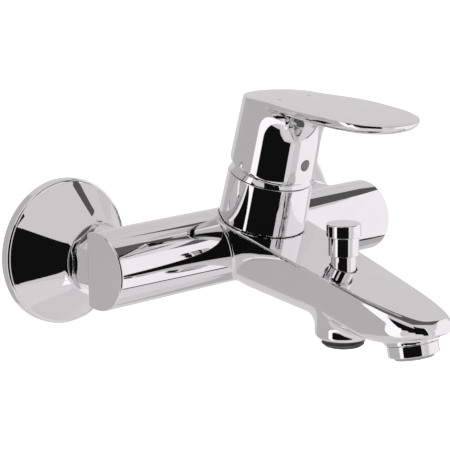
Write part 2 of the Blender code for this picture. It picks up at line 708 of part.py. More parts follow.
# --- diverter, shower outlet and aerator --------------------------------------------------
def make_diverter(diverter):
    top = KNOB_TOP_Z
    knob = [
        (0.0, top), (7.9, top), (8.3, top - 0.4), (8.3, top - 5.8), (8.0, top - 6.1), (7.4, top - 6.1),
        (7.4, top - 14.9), (7.1, top - 15.2), (6.05, top - 15.2), (6.05, -7.6), (2.5, -7.6),
        (2.5, 6.0), (0.0, 6.0)]
    solid_turned("diverter_knob", knob, diverter, "chrome", 24)
    stem = [
        (0.0, 5.7), (2.2, 5.7), (2.2, -24.3), (5.6, -24.3),
        (5.6, -26.0), (2.2, -26.0), (2.2, -27.5), (0.0, -27.5)]
    solid_turned("diverter_rod", stem, diverter, "brass", 20)
    bush = [(8.3, -8.3), (8.3, -12.0), (2.5, -12.0), (2.5, -8.3)]
    turned("diverter_bush", bush, diverter, "brass", 24)
    ring("diverter_seal", 2.5, 8.3, -13.4, -12.3, diverter, "rubber", 22)
    coil("diverter_spring", 3.9, 0.4, -24.0, -13.7, 4.5, diverter, "steel")
    ring("diverter_seat", 4.4, 8.3, -28.3, -26.3, diverter, "brass", 24)


def make_shower_outlet(diverter):
    """Threaded nipple with a non-return valve inside it."""
    outer, core = OUTLET_THREAD_RADIUS, OUTLET_THREAD_RADIUS - 0.8
    end = OUTLET_END_Z
    nipple = [(8.3, -28.6), (8.3, OUTLET_BOSS_END_Z - 0.3), (outer, OUTLET_BOSS_END_Z - 0.3)]
    nipple += [(outer, -37.0), (core, -37.4), (outer, -37.8), (outer, -38.5), (core, -39.0)]
    nipple += [(core, end), (6.7, end), (6.7, -28.6)]
    turned("shower_outlet_nipple", nipple, diverter, "dark_plastic", 28)
    valve = [
        (6.4, -28.7), (6.4, -38.8), (1.4, -38.8), (1.4, -38.0),
        (5.2, -38.0), (5.2, -30.6), (3.4, -29.6), (3.4, -28.7)]
    body = turned("check_valve_body", valve, diverter, "white_plastic", 20)
    for i in range(3):
        vent = rod("valve_vent_%d" % i, 1.2, -40.0, -37.0, diverter, steps=6)
        angle = math.tau * i / 3
        vent.location = (3.3 * math.cos(angle) * MM, 3.3 * math.sin(angle) * MM, 0.0)
        cut(body, vent)
    poppet = [
        (0.0, -30.0), (2.6, -30.4), (4.1, -31.4), (4.1, -32.4), (1.0, -32.4), (1.0, -38.6), (0.0, -38.6)]
    solid_turned("check_valve_poppet", poppet, diverter, "dark_plastic", 18)
    coil("check_valve_spring", 2.3, 0.3, -37.7, -32.7, 4.0, diverter, "steel")


def make_aerator(aerator):
    radius = AERATOR_RADIUS
    housing = [
        (11.0, 5.9), (11.0, -CLEARANCE), (radius - 0.3, -CLEARANCE), (radius, -0.6),
        (radius, -5.4), (radius - 0.4, -5.8), (9.7, -5.8), (9.7, 5.9)]
    turned("aerator_housing", housing, aerator, "chrome", 28)
    insert = [(0.0, 4.6), (9.35, 4.6), (9.35, -6.9), (8.9, -7.4), (8.2, -7.4), (8.2, -6.2), (0.0, -6.2)]
    core = solid_turned("aerator_insert", insert, aerator, "grey_plastic", 24)
    for i in range(6):
        hole = rod("aerator_hole_%d" % i, 1.8, -8.0, 6.0, aerator, steps=6)
        angle, reach = math.tau * i / 5, 5.2 if i < 5 else 0.0
        hole.location = (reach * math.cos(angle) * MM, reach * math.sin(angle) * MM, 0.0)
        cut(core, hole)
    ring("aerator_gasket", 8.2, 11.0, 6.2, 7.7, aerator, "rubber", 24)


# --- assembly -----------------------------------------------------------------------------
clear_scene()
PARTS = make_collection("wall_mounted_bath_faucet")
CUTTERS = make_collection("cutters")


def main():
    tower = make_frame("tower_axis", TOWER_Y, top_height(TOWER_Y), TILT)
    lift = make_frame("lift_axis", 0.0, PIVOT_HEIGHT, 0.0, 0.0, tower)
    diverter = make_frame("diverter_axis", DIVERTER_Y, 0.0)
    aerator = make_frame("aerator_axis", AERATOR_Y, AERATOR_Z, -AERATOR_TILT)
    make_body(tower, diverter, aerator)
    make_wall_side()
    make_cartridge(tower)
    make_tower_covers(tower)
    make_stem_guide(tower)
    make_moving_discs(tower)
    make_stem(lift)
    make_lever(lift)
    make_diverter(diverter)
    make_shower_outlet(diverter)
    make_aerator(aerator)


main()
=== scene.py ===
"""Looks of the wall mounted bath faucet: fine surfaces, materials, studio and camera.

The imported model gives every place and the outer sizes. The chrome castings are described as
distance fields in millimetres and skinned here; the turned pieces are fine lathe work.
"""
import math

import bmesh
import bpy
import numpy as np
from mathutils import Matrix, Vector


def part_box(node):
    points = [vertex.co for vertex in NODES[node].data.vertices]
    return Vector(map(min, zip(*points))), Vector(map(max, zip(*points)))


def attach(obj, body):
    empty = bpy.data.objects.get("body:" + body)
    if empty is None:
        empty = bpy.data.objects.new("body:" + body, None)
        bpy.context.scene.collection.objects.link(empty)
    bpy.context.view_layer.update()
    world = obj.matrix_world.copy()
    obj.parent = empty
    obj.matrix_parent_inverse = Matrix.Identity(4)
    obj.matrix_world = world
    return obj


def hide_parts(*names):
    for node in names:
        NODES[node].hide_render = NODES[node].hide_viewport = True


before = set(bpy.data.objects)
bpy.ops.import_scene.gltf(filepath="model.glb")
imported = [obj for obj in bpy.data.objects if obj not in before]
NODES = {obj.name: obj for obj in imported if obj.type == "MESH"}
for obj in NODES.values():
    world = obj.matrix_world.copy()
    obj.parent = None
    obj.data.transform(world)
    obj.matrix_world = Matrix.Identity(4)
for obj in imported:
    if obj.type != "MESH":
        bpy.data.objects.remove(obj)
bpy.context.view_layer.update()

MM = 0.001
SIDES = (("left", -1.0), ("right", 1.0))


def box_mm(node):
    """Lowest and highest corner of a CAD node, in millimetres."""
    low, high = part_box(node)
    return low / MM, high / MM


# --- sizes: the first group is read from the frame, the second is the casting's own ----------
BODY_LOW, BODY_HIGH = box_mm("mixer_body")
ROSE_LOW, ROSE_HIGH = box_mm("left_escutcheon")
NUT_LOW, NUT_HIGH = box_mm("left_union_nut")
KNOB_LOW, KNOB_HIGH = box_mm("diverter_knob")
LEVER_LOW = box_mm("lever_handle")[0]

INLET_X = (ROSE_LOW.x + ROSE_HIGH.x) / -2
BARREL_HALF = BODY_HIGH.x
BARREL_RADIUS = 18.8
BARREL_Y = -49.2
BARREL_BACK_Y = BODY_HIGH.y
BARREL_EDGE = 0.9
BARREL_BACK_EDGE = 0.8

TILT = math.radians(15.0)
TOP_Y = -100.0
TOP_Z = 4.15
NOSE_Y = -145.0
TIP_Y = BODY_LOW.y
SPOUT_HALF = 19.2
SPOUT_FLARE = 0.06
SPOUT_EDGE_BACK = 0.8
SPOUT_EDGE_TIP = 4.6
NOSE_POWER = 2.8
NOSE_RAKE = 0.85
KEEL_Z = -26.2
KEEL_SLOPE = 0.13

TOWER_Y = -65.4
TOWER_AXIS = Vector((0.0, -math.sin(TILT), math.cos(TILT)))
STUB_RADIUS = 19.6
STUB_TOP = 22.0
CAVITY_RADIUS = 17.6
CAVITY_FLOOR = -15.0
SLEEVE_FOOT_RADIUS = 21.9
SLEEVE_TOP_RADIUS = 21.1
SLEEVE_TOP = 24.3
PIVOT_HEIGHT = 13.0
DOME_RADIUS = 23.8

HUB_FOOT_FRONT = 27.3
HUB_FOOT_REAR = 31.0
HUB_FOOT_RADIUS = 21.3
HUB_TOP_RADIUS = 20.1
HUB_TOP = 66.0
HUB_CENTRE_Y = -82.3
PADDLE_TIP_Y = LEVER_LOW.y
PADDLE_TIP_Z = 69.77
PADDLE_SLOPE = 0.133
PADDLE_CROWN = 0.00057
PADDLE_HALF = 25.0
PADDLE_FLARE_LENGTH = 32.0
PADDLE_TAPER = 2.6
PADDLE_TAPER_Y = -114.0
PADDLE_TAPER_LENGTH = 30.0
PADDLE_NOSE_Y = -136.0
PADDLE_NOSE_POWER = 2.3
PADDLE_NOSE_ROOT = 2.1
RIM_DROP = 5.0
RIM_IN = 9.0
HOLLOW_HEIGHT = 17.0
HOLLOW_REACH = 12.0
TOP_EDGE = 0.2
PLUG_HEIGHT = 37.3
PLUG_BORE_RADIUS = 2.85
PLUG_REACH = 26.0
BORE_STEPS = 48
MARK_X = 10.0
MARK_Y = -88.0

DIVERTER_Y = (KNOB_LOW.y + KNOB_HIGH.y) / 2
BOSS_RADIUS = 13.7
BOSS_END_Z = -35.7
OUTLET_THREAD_RADIUS = 10.45
OUTLET_END_Z = -39.6

AERATOR_TILT = math.radians(12.0)
AERATOR_Y = -163.3
AERATOR_Z = -29.6
AERATOR_RADIUS = 12.0

ROSE_RADIUS = (ROSE_HIGH.x - ROSE_LOW.x) / 2
ROSE_HEIGHT = -ROSE_LOW.y
ROSE_RIM = 5.3
ROSE_FLARE = 1.15
ROSE_MOUTH = 18.0
UNION_OFFSET = 12.0
ROSE_WALL = 1.4
WALL_THREAD_RADIUS = 10.45
UNION_THREAD_RADIUS = 13.2
PIPE_PITCH = 1.814
TOOTH_SLOPE = 1.3
TOOTH_CREST = 0.15
CLEARANCE = 0.3

# grid steps of the skins, fine enough for clean reflections and under 200,000 triangles each
BODY_STEP = 0.75
NUT_STEP = 0.45
UNION_STEP = 0.55


# --- distance fields, in millimetres ----------------------------------------------------------
def top_height(y):
    """Height of the spout's flat top."""
    return TOP_Z + math.tan(TILT) * (y - TOP_Y)


def clamped(value):
    """The value, kept between 0 and 1."""
    return min(1.0, max(0.0, value))


def ramp(value, start, end):
    """Smooth step from 0 at start to 1 at end."""
    share = np.clip((value - start) / (end - start), 0.0, 1.0)
    return share * share * (3.0 - 2.0 * share)


def both(a, b, radius):
    """Intersection whose edge is rounded to the radius."""
    outer = np.sqrt(np.maximum(a + radius, 0.0) ** 2 + np.maximum(b + radius, 0.0) ** 2)
    return np.minimum(np.maximum(a, b), -radius) + outer


def either(a, b, radius):
    """Union whose corner is filled to the radius."""
    inner = np.sqrt(np.maximum(radius - a, 0.0) ** 2 + np.maximum(radius - b, 0.0) ** 2)
    return np.maximum(np.minimum(a, b), radius) - inner


def minus(a, b, radius=0.0):
    """Cut b out of a."""
    if radius:
        return both(a, -b, radius)
    return np.maximum(a, -b)


def bar(along, across, low, high, radius):
    """A round bar between two stations of its axis."""
    return np.maximum(across - radius, np.maximum(along - high, low - along))


def tower_frame(y, z):
    """Height above the flat top, and distance ahead of the tower's axis."""
    dy, dz = y - TOWER_Y, z - top_height(TOWER_Y)
    height = -math.sin(TILT) * dy + math.cos(TILT) * dz
    ahead = -math.cos(TILT) * dy - math.sin(TILT) * dz
    return height, ahead


def aerator_frame(x, y, z):
    """Height above the aerator's seat, and distance from its axis."""
    dy, dz = y - AERATOR_Y, z - AERATOR_Z
    height = math.sin(AERATOR_TILT) * dy + math.cos(AERATOR_TILT) * dz
    beside = math.cos(AERATOR_TILT) * dy - math.sin(AERATOR_TILT) * dz
    return height, np.hypot(x, beside)


def barrel_field(x, y, z):
    """Round bar along X with a flat back."""
    wall = np.hypot(y - BARREL_Y, z) - BARREL_RADIUS
    bar_shape = both(wall, np.abs(x) - BARREL_HALF, BARREL_EDGE)
    return both(bar_shape, y - BARREL_BACK_Y, BARREL_BACK_EDGE)


def keel_height(y):
    """Lowest line of the spout: it rises to the barrel and levels out over the aerator."""
    line = KEEL_Z + KEEL_SLOPE * (y - TOP_Y) + 3.4 * np.maximum(0.0, (y + 67.0) / 18.0) ** 2
    seat = AERATOR_Z - math.tan(AERATOR_TILT) * (y - AERATOR_Y)
    gap = np.maximum(4.0 - np.abs(line - seat), 0.0)
    return np.maximum(line, seat) + gap * gap / 16.0


def spout_field(x, y, z):
    """Flat top with a rounded edge over a keel that is a superellipse across the spout."""
    top = top_height(y)
    span = NOSE_Y - TIP_Y
    reach = np.clip((NOSE_Y - y) / span, 0.0, 1.0)
    y = y - NOSE_RAKE * reach * reach * np.maximum(top - SPOUT_EDGE_TIP - z, 0.0)
    nose = np.maximum((NOSE_Y - y) / span, 0.0)
    half = SPOUT_HALF + SPOUT_FLARE * (y - NOSE_Y)
    forward = ramp(-y, 104.0, 172.0)
    edge = SPOUT_EDGE_BACK + (SPOUT_EDGE_TIP - SPOUT_EDGE_BACK) * forward
    power = 2.3 + 3.0 * forward
    depth = top - edge - keel_height(y)
    fall = np.maximum(top - edge - z, 0.0) / depth
    side = np.abs(x) / half
    plan = np.maximum((side ** NOSE_POWER + nose ** NOSE_POWER) ** (1.0 / NOSE_POWER), 1e-6)
    level = np.maximum(np.sqrt(plan * plan + fall ** power), 1e-6)
    lean = plan ** (2.0 - NOSE_POWER) / level
    slope_x = lean * side ** (NOSE_POWER - 1.0) / half
    slope_y = lean * nose ** (NOSE_POWER - 1.0) / span
    slope_z = 0.5 * power * fall ** (power - 1.0) / (depth * level)
    slope = np.sqrt(slope_x ** 2 + slope_y ** 2 + slope_z ** 2)
    wall = (level - 1.0) / np.maximum(slope, 0.02)
    spout = both(wall, (z - top) * math.cos(TILT), edge)
    return np.maximum(spout, y - BARREL_Y)


def body_field(x, y, z):
    """The casting: barrel, spout, outlet boss, aerator collar, stub and the bores."""
    boss_across = np.hypot(x, y - DIVERTER_Y)
    boss = both(boss_across - BOSS_RADIUS, BOSS_END_Z - z, 2.4)
    boss = np.maximum(boss, z + 15.0)
    seat, seat_across = aerator_frame(x, y, z)
    collar = np.maximum(both(seat_across - 12.8, -seat, 0.5), seat - 7.0)
    spout = either(spout_field(x, y, z), boss, 4.0)
    spout = either(spout, collar, 1.6)
    body = either(barrel_field(x, y, z), spout, 1.4)
    height, ahead = tower_frame(y, z)
    across = np.hypot(x, ahead)
    body = minus(body, bar(height, across, 0.0, 8.0, SLEEVE_FOOT_RADIUS + 0.3), 0.4)
    body = np.minimum(body, bar(height, across, -6.0, STUB_TOP, STUB_RADIUS))
    body = minus(body, bar(height, across, CAVITY_FLOOR, STUB_TOP + 5.0, CAVITY_RADIUS))
    body = minus(body, bar(z, boss_across, -9.0, 9.0, 6.55), 0.2)
    body = minus(body, bar(z, boss_across, BOSS_END_Z - 5.0, -8.0, 8.6))
    body = minus(body, bar(seat, seat_across, -4.0, 8.0, 11.3))
    inlet = bar(y, np.hypot(np.abs(x) - INLET_X, z), BARREL_BACK_Y - 9.3, 0.0, 10.65)
    return minus(body, inlet)


def nut_field(x, y, z):
    """Hexagon along Y about the inlet's axis, with turned chamfers and a bore."""
    flats = [np.abs(x * math.cos(a) + z * math.sin(a)) for a in (0.0, math.pi / 3, -math.pi / 3)]
    half = (NUT_HIGH.z - NUT_LOW.z) / 2 * math.sqrt(3) / 2
    wall = np.maximum(np.maximum(flats[0], flats[1]), flats[2]) - half
    across = np.hypot(x, z)
    nut = np.maximum(wall, np.maximum(y - NUT_HIGH.y, NUT_LOW.y - y))
    for end, share, reach in ((NUT_HIGH.y, 0.70, 14.9), (-NUT_LOW.y, 0.52, 15.1)):
        depth = y - end if end == NUT_HIGH.y else -y - end
        cone = (across - reach) * share + depth * math.sqrt(1.0 - share * share)
        nut = both(nut, cone, 0.35)
    return minus(nut, across - 13.5, 0.2)


def tooth_depth(phase):
    """Depth of a pipe thread at a share of its turn; the crest and the root go past 0 and 1."""
    return TOOTH_SLOPE * abs(2.0 * phase - 1.0) - TOOTH_CREST


def thread_cut(across, angle, y, radius):
    """Distance to a bar with a pipe thread along Y."""
    phase = (y / PIPE_PITCH + angle / math.tau) % 1.0
    tooth = np.clip(tooth_depth(phase), 0.0, 1.0)
    return (across - radius + tooth) * 0.66


def union_field(x, y, z):
    """Eccentric union along Y: wall thread above the axis, slanted waist and inlet thread."""
    lift = UNION_OFFSET * np.clip((y + 13.0) / 15.0, 0.0, 1.0)
    wall_across = np.hypot(x, z - UNION_OFFSET)
    waist_across = np.hypot(x, z - lift)
    across = np.hypot(x, z)
    wall = thread_cut(wall_across, np.arctan2(x, z - UNION_OFFSET), y, WALL_THREAD_RADIUS)
    wall = both(both(wall, y - 18.0, 0.5), -y - 1.0, 0.0)
    waist = both(both(0.8 * (waist_across - 12.7), y - 2.0, 0.6), -y - 14.0, 0.0)
    inlet = thread_cut(across, np.arctan2(x, z), y, UNION_THREAD_RADIUS)
    inlet = both(both(inlet, -y - 36.0, 0.5), y + 12.0, 0.5)
    union = np.minimum(np.minimum(wall, waist), inlet)
    bore = np.minimum(np.maximum(wall_across - 7.0, -y), np.maximum(across - 8.6, y + 12.5))
    bore = np.minimum(bore, np.maximum(0.8 * (waist_across - 7.0), np.abs(y + 6.5) - 8.0))
    return minus(union, bore)


# --- skinning ---------------------------------------------------------------------------------
def linked(name, data):
    """New object in the scene."""
    thing = bpy.data.objects.new(name, data)
    bpy.context.scene.collection.objects.link(thing)
    return thing


def spaced(*runs):
    """Grid stations from runs of (start, end, step)."""
    stations = [np.linspace(a, b, max(2, round((b - a) / step) + 1)) for a, b, step in runs]
    return np.unique(np.round(np.concatenate(stations), 5))


def sample(field, axes, zones):
    """Field values on the grid; outside the zones there is nothing."""
    values = np.full([len(axis) for axis in axes], 5.0)
    for zone in zones:
        picks = [np.flatnonzero((axis >= low) & (axis <= high)) for axis, (low, high) in zip(axes, zone)]
        grids = np.meshgrid(*[axis[pick] for axis, pick in zip(axes, picks)], indexing="ij")
        values[np.ix_(*picks)] = field(*grids)
    return values


def gradient(field, points, step=0.02):
    """Slope of the field at each point, by central differences."""
    slopes = []
    for axis in range(3):
        shift = np.zeros(3)
        shift[axis] = step
        slopes.append((field(*(points + shift).T) - field(*(points - shift).T)) / (2 * step))
    return np.stack(slopes, axis=1)


def cell_points(values, axes):
    """One point in each cell that the surface crosses, and the cells' numbers."""
    inside = values < 0.0
    size = [n - 1 for n in values.shape]
    total = np.zeros(size + [3])
    count = np.zeros(size)
    for axis in range(3):
        near = [slice(None)] * 3
        far = [slice(None)] * 3
        near[axis], far[axis] = slice(None, -1), slice(1, None)
        a, b = values[tuple(near)], values[tuple(far)]
        crossed = inside[tuple(near)] != inside[tuple(far)]
        share = np.where(crossed, a / np.where(crossed, a - b, 1.0), 0.0)
        others = [i for i in range(3) if i != axis]
        for shift_a in (0, 1):
            for shift_b in (0, 1):
                pick = [slice(None)] * 3
                pick[others[0]] = slice(shift_a, shift_a + size[others[0]])
                pick[others[1]] = slice(shift_b, shift_b + size[others[1]])
                here, part = crossed[tuple(pick)], share[tuple(pick)]
                count += here
                where = np.nonzero(here)
                for line in range(3):
                    stations = axes[line]
                    if line == axis:
                        spot = stations[where[line]]
                        spot = spot + part[where] * (stations[where[line] + 1] - spot)
                    else:
                        shift = shift_a if line == others[0] else shift_b
                        spot = stations[where[line] + shift]
                    total[where + (np.full(len(spot), line),)] += spot
    used = count > 0
    number = np.full(size, -1)
    number[used] = np.arange(used.sum())
    return total[used] / count[used][:, None], number, inside


def cell_faces(number, inside):
    """Quads across every grid edge that the surface crosses, facing outwards."""
    quads = []
    for axis in range(3):
        others = [(axis + 1) % 3, (axis + 2) % 3]
        core = [slice(None)] * 3
        for other in others:
            core[other] = slice(1, -1)
        near, far = list(core), list(core)
        near[axis], far[axis] = slice(None, -1), slice(1, None)
        a, b = inside[tuple(near)], inside[tuple(far)]
        where = np.nonzero(a != b)
        corners = []
        for shift in ((0, 0), (1, 0), (1, 1), (0, 1)):
            cell = list(where)
            cell[others[0]] = where[others[0]] + shift[0]
            cell[others[1]] = where[others[1]] + shift[1]
            corners.append(number[tuple(cell)])
        quad = np.stack(corners, axis=1)
        flip = ~a[where]
        quad[flip] = quad[flip][:, ::-1]
        quads.append(quad)
    return np.concatenate(quads)


def skin(name, field, axes, zones, centre=(0.0, 0.0, 0.0)):
    """Mesh of the surface where the field is zero, its points and normals taken from the field."""
    values = sample(field, axes, zones)
    points, number, inside = cell_points(values, axes)
    for _ in range(4):
        slope = gradient(field, points)
        length = np.maximum((slope ** 2).sum(axis=1), 0.05)
        step = (field(*points.T) / length)[:, None] * slope
        points = points - np.clip(step, -0.5, 0.5)
    normals = gradient(field, points)
    normals /= np.maximum(np.linalg.norm(normals, axis=1), 1e-6)[:, None]
    mesh = bpy.data.meshes.new(name)
    mesh.from_pydata((points + np.array(centre)) * MM, [], cell_faces(number, inside))
    mesh.shade_smooth()
    mesh.normals_split_custom_set_from_vertices(normals)
    return linked(name, mesh)


def make_body():
    """The chrome casting, with close stations where its ends curve."""
    end = BARREL_HALF
    across = spaced(
        (-end - 0.6, -end + 1.6, 0.3), (-end + 1.6, -26.0, 1.6), (-26.0, 26.0, BODY_STEP),
        (26.0, end - 1.6, 1.6), (end - 1.6, end + 0.6, 0.3))
    along = spaced((TIP_Y - 1.2, -29.0, BODY_STEP))
    up = spaced((-37.5, 41.0, BODY_STEP))
    barrel_zone = ((-200.0, 200.0), (-70.0, -29.0), (-21.0, 21.0))
    spout_zone = ((-26.5, 26.5), (-190.0, -40.0), (-40.0, 45.0))
    return skin("body_casting", body_field, (across, along, up), [barrel_zone, spout_zone])


def side_by_side(name, field, axes):
    """The same skin at each of the two inlets."""
    zone = [tuple((axis[0] - 1.0, axis[-1] + 1.0) for axis in axes)]
    pieces = []
    for side, sign in SIDES:
        pieces.append(skin(side + name, field, axes, zone, (sign * INLET_X, 0.0, 0.0)))
    return pieces


def make_nuts():
    """The two hexagon nuts that hold the casting to its unions."""
    reach = (NUT_HIGH.z - NUT_LOW.z) / 2 + 1.0
    axes = (
        spaced((-reach, reach, NUT_STEP)), spaced((NUT_LOW.y - 1.0, NUT_HIGH.y + 1.0, NUT_STEP)),
        spaced((-reach, reach, NUT_STEP)))
    return side_by_side("_hex_nut", nut_field, axes)


def make_unions():
    """The two eccentric unions, whose wall threads stand above the inlets."""
    axes = (
        spaced((-14.4, 14.4, UNION_STEP)), spaced((-37.2, 19.2, UNION_STEP)),
        spaced((-14.4, 24.4, UNION_STEP)))
    return side_by_side("_eccentric", union_field, axes)


# --- turned pieces ----------------------------------------------------------------------------
def soften(corners, count=5):
    """Profile from (radius, height, rounding) corners, each corner rounded by an arc."""
    points = []
    for i, (radius, height, rounding) in enumerate(corners):
        here = Vector((radius, height))
        if not rounding:
            points.append(tuple(here))
            continue
        before = (Vector(corners[i - 1][:2]) - here).normalized()
        after = (Vector(corners[(i + 1) % len(corners)][:2]) - here).normalized()
        half = before.angle(after) / 2
        middle = here + (before + after).normalized() * rounding / math.sin(half)
        start = here + before * rounding / math.tan(half) - middle
        end = here + after * rounding / math.tan(half) - middle
        sweep = start.angle(end)
        for k in range(count + 1):
            a, b = math.sin((1 - k / count) * sweep), math.sin(k / count * sweep)
            points.append(tuple(middle + (start * a + end * b) / math.sin(sweep)))
    return points


def placed(y=0.0, z=0.0, turn=0.0, x=0.0):
    """Matrix of a frame whose Z is a piece's axis, turned about X."""
    return Matrix.Translation((x * MM, y * MM, z * MM)) @ Matrix.Rotation(turn, 4, "X")


def tidy_mesh(mesh, angle=32.0):
    """Weld a turned mesh on its axis, turn its faces outwards and mark its sharp edges."""
    shape = bmesh.new()
    shape.from_mesh(mesh)
    bmesh.ops.remove_doubles(shape, verts=shape.verts, dist=1e-6)
    loose = [edge for edge in shape.edges if not edge.link_faces]
    bmesh.ops.delete(shape, geom=loose, context="EDGES")
    bmesh.ops.recalc_face_normals(shape, faces=shape.faces)
    shape.to_mesh(mesh)
    shape.free()
    mesh.shade_smooth()
    mesh.set_sharp_from_angle(angle=math.radians(angle))


def with_normals(piece):
    """Shade the large faces flat and let the small ones between them round off."""
    weigh = piece.modifiers.new("Normals", "WEIGHTED_NORMAL")
    weigh.keep_sharp = True
    return piece


def add_piece(name, mesh):
    """Put a finished mesh in the scene."""
    return with_normals(linked(name, mesh))


def lathe(name, profile, matrix, steps=144, lead=None):
    """Turn a closed profile of (radius, height); lead(angle, radius, height) may shift its radius."""
    points = []
    for radius, height in profile:
        for i in range(steps):
            angle = math.tau * i / steps
            r = radius + (lead(angle, radius, height) if lead else 0.0)
            points.append((r * math.cos(angle) * MM, r * math.sin(angle) * MM, height * MM))
    faces = []
    for row in range(len(profile)):
        after = (row + 1) % len(profile)
        for i in range(steps):
            k = (i + 1) % steps
            faces.append((row * steps + i, after * steps + i, after * steps + k, row * steps + k))
    mesh = bpy.data.meshes.new(name)
    mesh.from_pydata(points, [], faces)
    mesh.transform(matrix)
    tidy_mesh(mesh)
    return add_piece(name, mesh)


def make_rose(side, sign):
    """Bell-shaped cover, open towards the wall."""
    flank = []
    for i in range(1, 25):
        share = i / 24
        radius = ROSE_MOUTH + (ROSE_RADIUS - 1.6 - ROSE_MOUTH) * share ** ROSE_FLARE
        flank.append((radius, ROSE_HEIGHT - (ROSE_HEIGHT - ROSE_RIM) * share))
    lining = [(radius - ROSE_WALL, height - 0.8) for radius, height in reversed(flank[:-4:2])]
    mouth = UNION_THREAD_RADIUS + 0.8
    front = soften([(mouth, ROSE_HEIGHT, 0.0), (ROSE_MOUTH, ROSE_HEIGHT, 0.5), (ROSE_MOUTH, 27.0, 0.0)])
    rim = soften([
        (ROSE_RADIUS - 2.4, ROSE_RIM, 0.0), (ROSE_RADIUS, ROSE_RIM, 1.4), (ROSE_RADIUS, 0.0, 0.3),
        (ROSE_RADIUS - 3.0, 0.0, 0.3), (ROSE_RADIUS - 3.0, ROSE_RIM - 1.6, 0.0)])
    profile = front[:-1] + flank[:-1] + rim[1:] + lining + [(mouth, lining[-1][1])]
    return lathe(side + "_bell_cover", profile, placed(turn=math.pi / 2, x=sign * INLET_X), steps=180)


def make_sleeve(tower):
    """Plain ring round the tower's foot."""
    profile = soften([
        (18.2, SLEEVE_TOP, 0.0), (SLEEVE_TOP_RADIUS, SLEEVE_TOP, 0.5), (SLEEVE_FOOT_RADIUS, 0.8, 0.0),
        (SLEEVE_FOOT_RADIUS - 0.3, CLEARANCE, 0.0), (19.95, CLEARANCE, 0.0),
        (19.95, STUB_TOP + 0.4, 0.0), (18.2, STUB_TOP + 0.4, 0.0)])
    return lathe("tower_sleeve", profile, tower)


def sphere_arc(radius, first, last, count=10):
    """Profile points on a sphere about the lever's pivot; angles in degrees above level."""
    points = []
    for i in range(count + 1):
        angle = math.radians(first + (last - first) * i / count)
        points.append((radius * math.cos(angle), PIVOT_HEIGHT + radius * math.sin(angle)))
    return points


def make_dome(tower):
    """Ball-shaped cover over the cartridge's top; the hub's foot swings just above it."""
    low = math.degrees(math.asin((SLEEVE_TOP + 0.4 - PIVOT_HEIGHT) / DOME_RADIUS))
    profile = sphere_arc(DOME_RADIUS, 44.5, low) + sphere_arc(DOME_RADIUS - 1.5, low + 1.0, 46.0)
    return lathe("ball_cover", profile, tower)


# --- lever ------------------------------------------------------------------------------------
def tower_point(height, angle, radius):
    """Place at a height on the tower, an angle from the front and a radius."""
    ahead, beside = radius * math.cos(angle), radius * math.sin(angle)
    base = Vector((0.0, TOWER_Y, top_height(TOWER_Y)))
    front = Vector((0.0, -math.cos(TILT), -math.sin(TILT)))
    return base + TOWER_AXIS * height + front * ahead + Vector((beside, 0.0, 0.0))


def lever_top(y):
    """Height of the lever's top, which is slightly crowned along its length."""
    back = y - PADDLE_TIP_Y
    return PADDLE_TIP_Z + PADDLE_SLOPE * back - PADDLE_CROWN * back * back


def hub_foot(angle):
    """Height of the hub's foot, which rises from the front to the rear."""
    return HUB_FOOT_FRONT + (HUB_FOOT_REAR - HUB_FOOT_FRONT) * (1.0 - math.cos(angle)) / 2.0


def hub_radius(height):
    """Outer radius of the hub, which tapers slightly towards its top."""
    share = (height - HUB_FOOT_FRONT) / (HUB_TOP - HUB_FOOT_FRONT)
    return HUB_FOOT_RADIUS + (HUB_TOP_RADIUS - HUB_FOOT_RADIUS) * share


def wall_point(height, angle):
    """Place on the hub's outer wall."""
    return tower_point(height, angle, hub_radius(height))


def wall_top(angle):
    """Height on the tower at which the hub's wall meets the lever's top."""
    height = 64.0
    for _ in range(8):
        point = wall_point(height, angle)
        height += lever_top(point.y) - point.z
    return height


def paddle_half(y):
    """Half the paddle's width: hub, flare, slight taper and a rounded tip."""
    flare = clamped((HUB_CENTRE_Y - y) / PADDLE_FLARE_LENGTH)
    flare = flare * flare * (3.0 - 2.0 * flare)
    half = HUB_TOP_RADIUS + (PADDLE_HALF - HUB_TOP_RADIUS) * flare
    half -= PADDLE_TAPER * clamped((PADDLE_TAPER_Y - y) / PADDLE_TAPER_LENGTH) ** 2
    nose = clamped((PADDLE_NOSE_Y - y) / (PADDLE_NOSE_Y - PADDLE_TIP_Y))
    return half * (1.0 - nose ** PADDLE_NOSE_POWER) ** (1 / PADDLE_NOSE_ROOT)


def paddle_edge(angle):
    """Edge of the lever's top, at an angle about the hub's top centre."""
    crest = wall_point(wall_top(angle), angle)
    straight, across = math.cos(angle), math.sin(angle)
    if straight <= 0.0:
        return crest
    low, high = 0.0, 90.0
    for _ in range(30):
        reach = (low + high) / 2
        y = HUB_CENTRE_Y - reach * straight
        inside = y > PADDLE_TIP_Y and abs(reach * across) < paddle_half(y)
        low, high = (reach, high) if inside else (low, reach)
    y = HUB_CENTRE_Y - low * straight
    return Vector((low * across, y, lever_top(y)))


